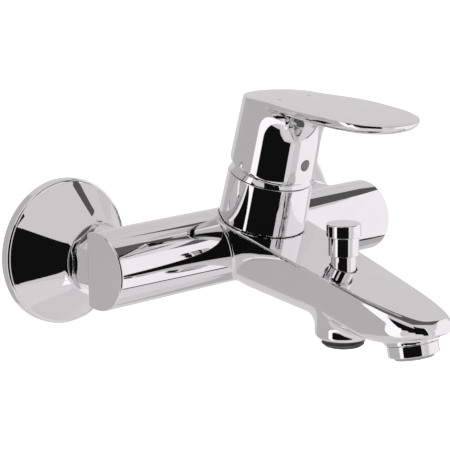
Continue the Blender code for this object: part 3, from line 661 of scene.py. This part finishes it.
def outer_curve(angle):
    """Dense line up the hub's wall, out along the paddle's underside and up to its edge."""
    foot = hub_foot(angle) + 1.0
    edge, top = paddle_edge(angle), wall_top(angle)
    crest = wall_point(top, angle)
    reach = (edge - crest).length
    outward = (edge - crest) / reach if reach > 0.05 else Vector()
    edge.z -= TOP_EDGE
    top -= TOP_EDGE
    rim_drop = 1.0 + (RIM_DROP - 1.0) * reach / (reach + 3.0)
    rim_in = min(RIM_IN, 0.55 * reach)
    hollow = 1.0 + (HOLLOW_HEIGHT - 1.0) * reach / (reach + 1.0)
    upward = (wall_point(top, angle) - wall_point(top - 5.0, angle)).normalized()
    upward = upward.lerp(Vector((0.0, 0.0, 1.0)), reach / (reach + 4.0)).normalized()
    rim_start = edge - outward * rim_in - upward * rim_drop
    wall_end = wall_point(top - rim_drop, angle)
    underside = rim_start - wall_end
    span = underside.length
    bend = min(HOLLOW_REACH, span) / max(span, 0.01)
    start = top - rim_drop - hollow
    line = [wall_point(foot + (start - foot) * i / 30, angle) for i in range(31)]
    for i in range(1, 25):
        turn = math.radians(90.0 * i / 24)
        wall = wall_point(start + hollow * math.sin(turn), angle)
        line.append(wall + underside * bend * (1.0 - math.cos(turn)))
    if bend < 1.0:
        line += [wall_end + underside * (bend + (1.0 - bend) * i / 30) for i in range(1, 31)]
    for i in range(1, 25):
        turn = math.radians(90.0 * i / 24)
        inset = rim_in * (1.0 - math.sin(turn))
        line.append(edge - outward * inset - upward * rim_drop * math.cos(turn))
    return line


def lengths_along(line):
    """Distance along a line at each of its points."""
    steps = [(b - a).length for a, b in zip(line, line[1:])]
    return np.concatenate([[0.0], np.cumsum(steps)])


def respaced(line, count, crowd=1.0):
    """Points along a line, crowded towards its end by the power."""
    along = lengths_along(line)
    wanted = along[-1] * (1.0 - (1.0 - np.linspace(0.0, 1.0, count)) ** crowd)
    columns = [np.interp(wanted, along, [point[axis] for point in line]) for axis in range(3)]
    return [Vector(point) for point in zip(*columns)]


def edge_angles(count):
    """Angles at which the lever's edge is divided evenly, symmetric about the middle."""
    trial = np.linspace(0.0, math.pi, 721)
    along = lengths_along([paddle_edge(angle) for angle in trial])
    half = np.interp(np.linspace(0.0, along[-1], count // 2 + 1), along, trial)
    return list(half) + [-angle for angle in half[-2:0:-1]]


def lever_column(angle):
    """All of the lever's rings at one angle, from the stem's socket to the top's middle."""
    foot = hub_foot(angle)
    square = 4.1 / max(abs(math.cos(angle)), abs(math.sin(angle)))
    column = [tower_point(49.0, angle, 0.0), tower_point(49.0, angle, square)]
    column += [tower_point(34.3, angle, square), tower_point(34.3, angle, 8.2)]
    column += [tower_point(56.0, angle, 8.2), tower_point(56.0, angle, 17.2)]
    column += [tower_point(33.5, angle, 18.4), tower_point(foot, angle, 19.85)]
    for lift, inset in ((0.0, 0.9), (0.12, 0.45), (0.45, 0.12)):
        column.append(tower_point(foot + lift, angle, hub_radius(foot) - inset))
    column += respaced(outer_curve(angle), 100, 1.4)
    edge = column[-1]
    target_y = max(-128.0, min(HUB_CENTRE_Y, edge.y + 12.0))
    inward = Vector((-edge.x, target_y - edge.y, 0.0)).normalized()
    for inset, drop in ((0.06, 0.08), (0.24, 0.0)):
        point = edge + inward * inset
        column.append(Vector((point.x, point.y, lever_top(point.y) - drop)))
    middle = Vector((0.0, -104.0, 0.0))
    rim = edge + inward * 0.6
    for share in (0.0, 0.1, 0.25, 0.4, 0.55, 0.7, 0.85, 1.0):
        point = rim.lerp(middle, share)
        column.append(Vector((point.x, point.y, lever_top(point.y))))
    return column


def cut_bore(piece, radius, reach, matrix):
    """Cut a round bore that runs along the matrix's Z from its origin."""
    shape = bmesh.new()
    middle = matrix @ Matrix.Translation((0.0, 0.0, reach / 2 * MM))
    bmesh.ops.create_cone(
        shape, cap_ends=True, segments=BORE_STEPS, radius1=radius * MM, radius2=radius * MM,
        depth=reach * MM, matrix=middle)
    mesh = bpy.data.meshes.new("bore")
    shape.to_mesh(mesh)
    shape.free()
    cutter = linked("bore", mesh)
    cut = piece.modifiers.new("Bore", "BOOLEAN")
    cut.operation = "DIFFERENCE"
    cut.solver = "MANIFOLD"
    cut.object = cutter
    bpy.context.view_layer.update()
    result = piece.evaluated_get(bpy.context.evaluated_depsgraph_get())
    piece.data = bpy.data.meshes.new_from_object(result)
    piece.data.materials.clear()
    piece.modifiers.clear()
    bpy.data.objects.remove(cutter)


def make_lever(tower):
    """Hollow hub and paddle in one casting, with a bore for the set screw."""
    columns = [lever_column(angle) for angle in edge_angles(240)]
    rows = len(columns[0])
    points = [point * MM for column in columns for point in column]
    faces = []
    for i in range(len(columns)):
        k = (i + 1) % len(columns)
        for j in range(rows - 1):
            faces.append((i * rows + j, k * rows + j, k * rows + j + 1, i * rows + j + 1))
    mesh = bpy.data.meshes.new("lever_casting")
    mesh.from_pydata(points, [], faces)
    tidy_mesh(mesh)
    lever = linked("lever_casting", mesh)
    cut_bore(lever, PLUG_BORE_RADIUS, PLUG_REACH, plug_axis(tower))
    tidy_mesh(lever.data)
    return with_normals(lever)


def plug_axis(tower):
    """Frame of the set screw's bore, square to the tower."""
    return tower @ placed(z=PLUG_HEIGHT, turn=math.pi / 2)


def make_plug(tower):
    """Small grey cap in the hub's front, over the set screw."""
    profile = soften([
        (0.0, 21.45, 0.0), (2.55, 21.2, 0.35), (2.55, 17.6, 0.0), (0.0, 17.6, 0.0)])
    return lathe("plug_cap", profile, plug_axis(tower), steps=64)


def make_mark(name, x):
    """Thin enamel dot let into the lever's top."""
    top = lever_top(MARK_Y)
    profile = soften([
        (0.0, 0.08, 0.0), (1.0, 0.03, 0.04), (1.0, -0.4, 0.0), (0.0, -0.4, 0.0)], count=3)
    return lathe(name, profile, placed(MARK_Y, top, x=x), steps=48)


def make_knob():
    """Pull knob: a flat cap with a rounded edge over a slightly slimmer neck."""
    top = KNOB_HIGH.z
    profile = soften([
        (0.0, top, 0.0), (8.3, top, 0.7), (8.3, top - 6.1, 0.35), (7.4, top - 6.1, 0.3),
        (7.4, top - 15.2, 0.3), (6.05, top - 15.2, 0.0), (6.05, KNOB_LOW.z, 0.0), (2.5, KNOB_LOW.z, 0.0),
        (2.5, 6.0, 0.0), (0.0, 6.0, 0.0)])
    return lathe("pull_knob", profile, placed(DIVERTER_Y))


def pipe_thread(radius, depth=1.0):
    """Shift that cuts a right-hand pipe thread into every point at the given radius."""
    def lead(angle, at, height):
        if abs(at - radius) > 0.01:
            return 0.0
        phase = (height / PIPE_PITCH - angle / math.tau) % 1.0
        return -depth * clamped(tooth_depth(phase))
    return lead


def make_nipple():
    """Male shower outlet: a threaded plastic nipple under the boss."""
    top, end, outer = BOSS_END_Z - 0.3, OUTLET_END_Z, OUTLET_THREAD_RADIUS
    rows = [(outer, top - (top - end - 0.7) * i / 30) for i in range(31)]
    seat, socket, bore = -28.6, 8.3, 6.7
    profile = [(socket, seat), (socket, top)] + rows
    profile += [(outer - 1.0, end + 0.35), (outer - 1.4, end)]
    profile += [(bore + 0.2, end), (bore, end + 0.2), (bore, seat)]
    return lathe("hose_thread", profile, placed(DIVERTER_Y), lead=pipe_thread(outer))


def make_aerator_ring(aerator):
    """Chrome ring that is screwed into the spout and holds the insert."""
    profile = soften([
        (11.0, 5.9, 0.0), (11.0, -CLEARANCE, 0.0), (AERATOR_RADIUS, -CLEARANCE, 0.25),
        (AERATOR_RADIUS, -5.8, 0.5), (9.7, -5.8, 0.3), (9.7, 5.9, 0.0)])
    return lathe("aerator_ring", profile, aerator)


def make_aerator_core(aerator):
    """Grey insert: a turned cup whose outlet is closed by a square lattice."""
    cup = soften([
        (9.35, 4.6, 0.0), (9.35, -7.4, 0.5), (8.2, -7.4, 0.25), (8.2, -2.0, 0.0), (0.0, -2.0, 0.0),
        (0.0, 4.6, 0.0)])
    core = lathe("aerator_lattice", cup, aerator, steps=96)
    shape = bmesh.new()
    shape.from_mesh(core.data)
    for i in range(-4, 5):
        offset = i * 1.75
        reach = math.sqrt(8.3 ** 2 - offset ** 2)
        for turn in (0.0, math.pi / 2):
            place = aerator @ Matrix.Rotation(turn, 4, "Z") @ placed(offset, -4.6)
            size = Matrix.Diagonal((2 * reach * MM, 0.45 * MM, 3.2 * MM, 1.0))
            bmesh.ops.create_cube(shape, size=1.0, matrix=place @ size)
    shape.to_mesh(core.data)
    shape.free()
    core.data.set_sharp_from_angle(angle=math.radians(32.0))
    return core


# --- materials --------------------------------------------------------------------------------
class Finish:
    """A Principled material with a few node helpers."""

    def __init__(self, name, metallic=0.0, coat=0.0):
        self.material = bpy.data.materials.new(name)
        self.material.use_nodes = True
        self.tree = self.material.node_tree
        self.shader = self.tree.nodes["Principled BSDF"]
        self.shader.inputs["Metallic"].default_value = metallic
        self.shader.inputs["Coat Weight"].default_value = coat
        self.place = self.tree.nodes.new("ShaderNodeTexCoord").outputs["Object"]

    def noise(self, scale, detail=3.0, stretch=(1.0, 1.0, 1.0), turn=(0.0, 0.0, 0.0)):
        """Noise in the part's own space; scale is in waves per metre."""
        mapping = self.tree.nodes.new("ShaderNodeMapping")
        mapping.inputs["Scale"].default_value = stretch
        mapping.inputs["Rotation"].default_value = turn
        self.tree.links.new(self.place, mapping.inputs["Vector"])
        noise = self.tree.nodes.new("ShaderNodeTexNoise")
        noise.inputs["Scale"].default_value = scale
        noise.inputs["Detail"].default_value = detail
        self.tree.links.new(mapping.outputs["Vector"], noise.inputs["Vector"])
        return noise.outputs["Fac"]

    def speckle(self, scale):
        """Cell noise, for the grain of moulded and sintered surfaces."""
        cells = self.tree.nodes.new("ShaderNodeTexVoronoi")
        cells.inputs["Scale"].default_value = scale
        self.tree.links.new(self.place, cells.inputs["Vector"])
        return cells.outputs["Distance"]

    def colour(self, driver, dark, light, low=0.35, high=0.65):
        """Base colour that runs from dark to light as the driver rises."""
        blend = self.tree.nodes.new("ShaderNodeValToRGB")
        blend.color_ramp.elements[0].position = low
        blend.color_ramp.elements[0].color = (*dark, 1.0)
        blend.color_ramp.elements[1].position = high
        blend.color_ramp.elements[1].color = (*light, 1.0)
        self.tree.links.new(driver, blend.inputs["Fac"])
        self.tree.links.new(blend.outputs["Color"], self.shader.inputs["Base Color"])

    def roughness(self, driver, low, high):
        """Roughness that runs from low to high as the driver rises."""
        spread = self.tree.nodes.new("ShaderNodeMapRange")
        spread.inputs["From Min"].default_value = 0.3
        spread.inputs["From Max"].default_value = 0.7
        spread.inputs["To Min"].default_value = low
        spread.inputs["To Max"].default_value = high
        self.tree.links.new(driver, spread.inputs["Value"])
        self.tree.links.new(spread.outputs["Result"], self.shader.inputs["Roughness"])

    def relief(self, driver, height, strength=1.0):
        """Bump of the given height in millimetres, over what is there already."""
        bump = self.tree.nodes.new("ShaderNodeBump")
        bump.inputs["Distance"].default_value = height * MM
        bump.inputs["Strength"].default_value = strength
        if self.shader.inputs["Normal"].is_linked:
            before = self.shader.inputs["Normal"].links[0].from_socket
            self.tree.links.new(before, bump.inputs["Normal"])
        self.tree.links.new(driver, bump.inputs["Height"])
        self.tree.links.new(bump.outputs["Normal"], self.shader.inputs["Normal"])


def chrome(name):
    """Bright chrome plate: faint waves of the polishing wheel and a trace of haze."""
    finish = Finish(name, metallic=1.0)
    finish.colour(finish.noise(28.0), (0.795, 0.792, 0.795), (0.825, 0.822, 0.825))
    finish.roughness(finish.noise(240.0, 6.0), 0.018, 0.042)
    finish.relief(finish.noise(90.0, 1.0), 0.012)
    finish.relief(finish.noise(2600.0, 2.0), 0.0004)
    return finish.material


def brass(name, turn=(0.0, 0.0, 0.0)):
    """Turned brass: fine tool lines round the piece and patches of tarnish."""
    finish = Finish(name, metallic=1.0)
    finish.colour(finish.noise(130.0, 6.0), (0.60, 0.44, 0.20), (0.80, 0.62, 0.31))
    finish.roughness(finish.noise(300.0, 5.0), 0.20, 0.38)
    lines = finish.noise(1.0, 2.0, (60.0, 4200.0, 60.0), turn)
    finish.relief(lines, 0.010)
    return finish.material


def steel(name):
    """Stainless steel with drawn lines and a slight patina."""
    finish = Finish(name, metallic=1.0)
    finish.colour(finish.noise(220.0, 5.0), (0.50, 0.50, 0.51), (0.68, 0.68, 0.68))
    finish.roughness(finish.noise(900.0, 4.0), 0.16, 0.34)
    finish.relief(finish.noise(1.0, 2.0, (900.0, 900.0, 5200.0)), 0.004)
    return finish.material


def rubber(name):
    """Matte black rubber with a pale bloom and a fine leathery grain."""
    finish = Finish(name)
    finish.colour(finish.noise(260.0, 6.0), (0.013, 0.013, 0.013), (0.030, 0.030, 0.032))
    finish.roughness(finish.noise(800.0, 4.0), 0.52, 0.72)
    finish.relief(finish.speckle(2400.0), 0.012, 0.6)
    return finish.material


def moulded(name, dark, light, low, high):
    """Moulded plastic: a spark-eroded grain over faint flow marks."""
    finish = Finish(name)
    finish.colour(finish.noise(150.0, 5.0), dark, light)
    finish.roughness(finish.noise(700.0, 4.0), low, high)
    finish.relief(finish.noise(120.0, 1.0), 0.010)
    finish.relief(finish.speckle(3400.0), 0.006, 0.6)
    return finish.material


def dark_plastic(name):
    """Near-black plastic of the threaded outlet and the cartridge's moving pieces."""
    return moulded(name, (0.050, 0.056, 0.054), (0.072, 0.076, 0.074), 0.36, 0.52)


def grey_plastic(name):
    """Mid grey plastic of the marks and the aerator's insert."""
    return moulded(name, (0.29, 0.29, 0.30), (0.35, 0.35, 0.36), 0.34, 0.48)


def slate_plastic(name):
    """Darker grey plastic of the cap over the set screw."""
    return moulded(name, (0.13, 0.13, 0.135), (0.17, 0.17, 0.175), 0.30, 0.42)


def white_plastic(name):
    """Pale plastic of the cartridge and the check valve's body."""
    return moulded(name, (0.82, 0.82, 0.79), (0.88, 0.88, 0.87), 0.34, 0.46)


def ceramic(name):
    """Ground alumina: cool white with a fine sintered speckle and a lapped sheen."""
    finish = Finish(name, coat=0.3)
    finish.colour(finish.speckle(1800.0), (0.84, 0.83, 0.79), (0.92, 0.91, 0.89), 0.1, 0.6)
    finish.roughness(finish.noise(500.0, 4.0), 0.14, 0.26)
    finish.relief(finish.noise(1500.0, 3.0), 0.002)
    return finish.material


NODE_FINISH = {
    chrome: (
        "mixer_body", "cartridge_sleeve", "tower_dome", "lever_handle", "diverter_knob",
        "aerator_housing", "left_escutcheon", "right_escutcheon", "left_union_nut", "right_union_nut"),
    brass: (
        "cartridge_nut", "cartridge_stem", "diverter_rod", "diverter_bush", "diverter_seat",
        "left_wall_union", "right_wall_union", "left_inlet_tail", "right_inlet_tail"),
    steel: ("pivot_pin", "set_screw", "diverter_spring", "check_valve_spring"),
    rubber: (
        "cartridge_seal", "diverter_seal", "aerator_gasket", "left_filter_washer",
        "right_filter_washer"),
    dark_plastic: ("stem_guide", "disc_carrier", "shower_outlet_nipple", "check_valve_poppet"),
    grey_plastic: ("hot_mark", "cold_mark", "aerator_insert"),
    slate_plastic: ("index_plug",),
    white_plastic: ("cartridge_base", "cartridge_housing", "check_valve_body"),
    ceramic: ("fixed_ceramic_disc", "moving_ceramic_disc"),
}


def dress_nodes():
    """Give every CAD node its material, and return the materials by node."""
    materials = {}
    for finish, nodes in NODE_FINISH.items():
        for node in nodes:
            materials[node] = finish(node)
            mesh = NODES[node].data
            mesh.materials.clear()
            mesh.materials.append(materials[node])
    return materials


def stand_for(piece, node, body, materials):
    """Show the piece in the CAD node's place, on its body and with its finish."""
    piece.data.materials.append(materials[node])
    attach(piece, body)
    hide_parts(node)


# --- studio -----------------------------------------------------------------------------------
CENTRE = Vector((0.0, -0.09, 0.01))
CARD_REACH = 1.6
TINT = (1.0, 0.965, 0.99)
WHITE = (1.0, 1.0, 1.0)
CAMERA_AZIMUTH = -42.86
CAMERA_ELEVATION = 12.04
CAMERA_ROLL = math.radians(-0.71)
CAMERA_DISTANCE = 0.78929
CAMERA_TARGET = Vector((-20.14, -60.0, 12.91))
CAMERA_LENS = 128.88


def glow(name, strength, colour=TINT):
    """Material of a surface that gives out light and reflects none."""
    material = bpy.data.materials.new(name)
    material.use_nodes = True
    tree = material.node_tree
    tree.nodes.clear()
    light = tree.nodes.new("ShaderNodeEmission")
    light.inputs["Color"].default_value = (*colour, 1.0)
    light.inputs["Strength"].default_value = strength
    output = tree.nodes.new("ShaderNodeOutputMaterial")
    tree.links.new(light.outputs["Emission"], output.inputs["Surface"])
    return material


def direction(azimuth, elevation):
    """Unit vector; azimuth 0 looks out from the wall, 90 to the object's +X side."""
    a, e = math.radians(azimuth), math.radians(elevation)
    return Vector((math.sin(a) * math.cos(e), -math.cos(a) * math.cos(e), math.sin(e)))


def stage_mesh(name, points, faces, material):
    """A piece of the studio."""
    mesh = bpy.data.meshes.new(name)
    mesh.from_pydata(points, [], faces)
    mesh.materials.append(material)
    mesh.shade_smooth()
    thing = linked(name, mesh)
    return thing


def only_seen_by(thing, camera=False, glossy=False):
    """Hide a studio piece from every kind of ray but the ones named."""
    thing.visible_camera = camera
    thing.visible_glossy = glossy
    thing.visible_diffuse = False
    thing.visible_transmission = False
    thing.visible_shadow = False
    thing.visible_volume_scatter = False


def between(pair, share):
    """Value at a share of the way from the pair's first to its second."""
    return pair[0] + (pair[1] - pair[0]) * share


def shell_patch(azimuths, lows, highs, reach):
    """Points and faces of a patch of a sphere round the object, with an elevation at each corner."""
    columns, rows = 25, 13
    points = []
    for j in range(rows):
        for i in range(columns):
            across = i / (columns - 1)
            azimuth = between(azimuths, across)
            elevation = between((between(lows, across), between(highs, across)), j / (rows - 1))
            points.append(CENTRE + reach * direction(azimuth, elevation))
    faces = []
    for j in range(rows - 1):
        for i in range(columns - 1):
            a = j * columns + i
            faces.append((a, a + 1, a + columns + 1, a + columns))
    return points, faces


def card(name, azimuths, lows, highs, strength, nearer=0.0):
    """Studio card that only reflections see; its strength is the brightness of its surface."""
    points, faces = shell_patch(azimuths, lows, highs, CARD_REACH - nearer)
    thing = stage_mesh("card_" + name, points, faces, glow("card_" + name, strength))
    only_seen_by(thing, glossy=True)


def make_awning():
    """Dark panel close above the spout's tip, which its rounded edge mirrors."""
    low, high = Vector((-0.080, -0.230, 0.130)), Vector((0.130, -0.095, 0.130))
    corners = [low, (high.x, low.y, low.z), high, (low.x, high.y, low.z)]
    only_seen_by(stage_mesh("awning", corners, [(0, 1, 2, 3)], glow("awning", 0.12)), glossy=True)


def make_cards():
    """The studio's cards: black in front, pale at the sides, and thin dark lines between them."""
    card("left_grey", (-180.0, -107.0), (-50.0, -50.0), (62.0, 62.0), 0.53)
    card("left_line", (-121.5, -118.5), (10.0, 10.0), (52.0, 52.0), 0.02, 0.02)
    card("left_white", (-107.0, -91.0), (-60.0, -60.0), (62.0, 62.0), 1.20)
    card("side_black", (-90.0, -72.0), (-25.6, -41.2), (38.6, 33.2), 0.006)
    card("front_black", (-72.0, -52.0), (-41.2, -38.0), (33.2, 28.0), 0.006)
    card("middle_black", (-52.0, -12.0), (-38.0, -36.0), (44.0, 44.0), 0.006)
    card("front_pale", (-12.0, 2.0), (-36.0, -36.0), (46.0, 46.0), 0.80)
    card("right_white", (22.0, 62.0), (-39.4, -39.4), (20.0, 39.0), 1.04)
    card("far_white", (62.0, 94.0), (-39.4, -39.4), (39.0, 43.0), 1.04)
    card("far_pale", (94.0, 124.0), (18.0, 18.0), (43.0, 38.0), 0.72)
    card("far_dim", (94.0, 124.0), (-41.0, -38.0), (18.0, 18.0), 0.66)
    card("right_grey", (124.0, 180.0), (-60.0, -60.0), (20.0, 20.0), 0.72)
    card("upper_grey", (124.0, 180.0), (20.0, 20.0), (60.0, 60.0), 0.69)
    card("rail", (70.0, 109.0), (44.0, 38.0), (44.4, 52.5), 0.10, 0.02)
    card("sill", (44.0, 81.0), (-41.2, -41.2), (-39.4, -39.4), 0.03, 0.02)
    card("low_grey", (81.0, 124.0), (-50.0, -50.0), (-39.4, -38.0), 0.50)
    card("low_pale", (-120.0, 81.0), (-75.0, -75.0), (-44.0, -41.2), 0.80)
    make_awning()


def make_lights():
    """Two broad soft lights for the surfaces that scatter."""
    for name, azimuth, elevation, power in (("key", -75.0, 50.0, 9.0), ("fill", 55.0, 40.0, 6.0)):
        light = bpy.data.lights.new(name, "AREA")
        light.shape = "DISK"
        light.size = 1.2
        light.energy = power
        lamp = linked(name, light)
        spot = CENTRE + 1.3 * direction(azimuth, elevation)
        facing = (spot - CENTRE).to_track_quat("Z", "Y").to_matrix().to_4x4()
        lamp.matrix_world = Matrix.Translation(spot) @ facing
        lamp.visible_glossy = False


def make_surroundings():
    """Even sky for reflections, a white backdrop for the camera and a pale floor."""
    world = bpy.data.worlds.new("studio")
    world.use_nodes = True
    sky = world.node_tree.nodes["Background"]
    sky.inputs["Color"].default_value = (*TINT, 1.0)
    sky.inputs["Strength"].default_value = 0.72
    bpy.context.scene.world = world
    points, faces = shell_patch((-180.0, 180.0), (-90.0, -90.0), (90.0, 90.0), 6.0)
    backdrop = stage_mesh("backdrop", points, faces, glow("backdrop_white", 1.0, WHITE))
    only_seen_by(backdrop, camera=True)
    floor = Finish("pale_floor")
    floor.colour(floor.noise(6.0), (0.93, 0.93, 0.93), (0.95, 0.95, 0.95))
    floor.roughness(floor.noise(30.0), 0.6, 0.7)
    floor.shader.inputs["Emission Color"].default_value = (1.0, 1.0, 1.0, 1.0)
    floor.shader.inputs["Emission Strength"].default_value = 0.45
    reach, depth = 5.0, -0.32
    corners = [
        (-reach, -reach, depth), (reach, -reach, depth), (reach, reach, depth), (-reach, reach, depth)]
    thing = stage_mesh("floor", corners, [(0, 1, 2, 3)], floor.material)
    thing.visible_glossy = False


def make_camera():
    """Long lens from the front left, slightly above."""
    back = direction(CAMERA_AZIMUTH, CAMERA_ELEVATION)
    turned = math.radians(CAMERA_AZIMUTH)
    side = Vector((math.cos(turned), math.sin(turned), 0.0))
    up = back.cross(side)
    right = side * math.cos(CAMERA_ROLL) + up * math.sin(CAMERA_ROLL)
    top = up * math.cos(CAMERA_ROLL) - side * math.sin(CAMERA_ROLL)
    lens = bpy.data.cameras.new("camera")
    lens.sensor_width = 36.0
    lens.lens = CAMERA_LENS
    lens.clip_start = 0.01
    lens.clip_end = 20.0
    camera = linked("camera", lens)
    turn = Matrix((right, top, back)).transposed().to_4x4()
    place = CAMERA_TARGET * MM + back * CAMERA_DISTANCE
    camera.matrix_world = Matrix.Translation(place) @ turn
    bpy.context.scene.camera = camera


# --- assembly ---------------------------------------------------------------------------------
def make_pieces(materials):
    """Every fine piece, each in its CAD node's place."""
    tower = placed(TOWER_Y, top_height(TOWER_Y), TILT)
    aerator = placed(AERATOR_Y, AERATOR_Z, -AERATOR_TILT)
    stand_for(make_body(), "mixer_body", "mixer", materials)
    stand_for(make_lever(tower), "lever_handle", "lever", materials)
    for (side, sign), nut, union in zip(SIDES, make_nuts(), make_unions()):
        stand_for(nut, side + "_union_nut", "mixer", materials)
        stand_for(union, side + "_wall_union", "mixer", materials)
        stand_for(make_rose(side, sign), side + "_escutcheon", "mixer", materials)
    stand_for(make_sleeve(tower), "cartridge_sleeve", "mixer", materials)
    stand_for(make_dome(tower), "tower_dome", "mixer", materials)
    stand_for(make_nipple(), "shower_outlet_nipple", "mixer", materials)
    stand_for(make_aerator_ring(aerator), "aerator_housing", "mixer", materials)
    stand_for(make_aerator_core(aerator), "aerator_insert", "mixer", materials)
    stand_for(make_knob(), "diverter_knob", "diverter", materials)
    stand_for(make_plug(tower), "index_plug", "lever", materials)
    stand_for(make_mark("hot_dot", -MARK_X), "hot_mark", "lever", materials)
    stand_for(make_mark("cold_dot", MARK_X), "cold_mark", "lever", materials)


make_pieces(dress_nodes())
make_surroundings()
make_cards()
make_lights()
make_camera()
bpy.context.scene.view_settings.view_transform = "Standard"
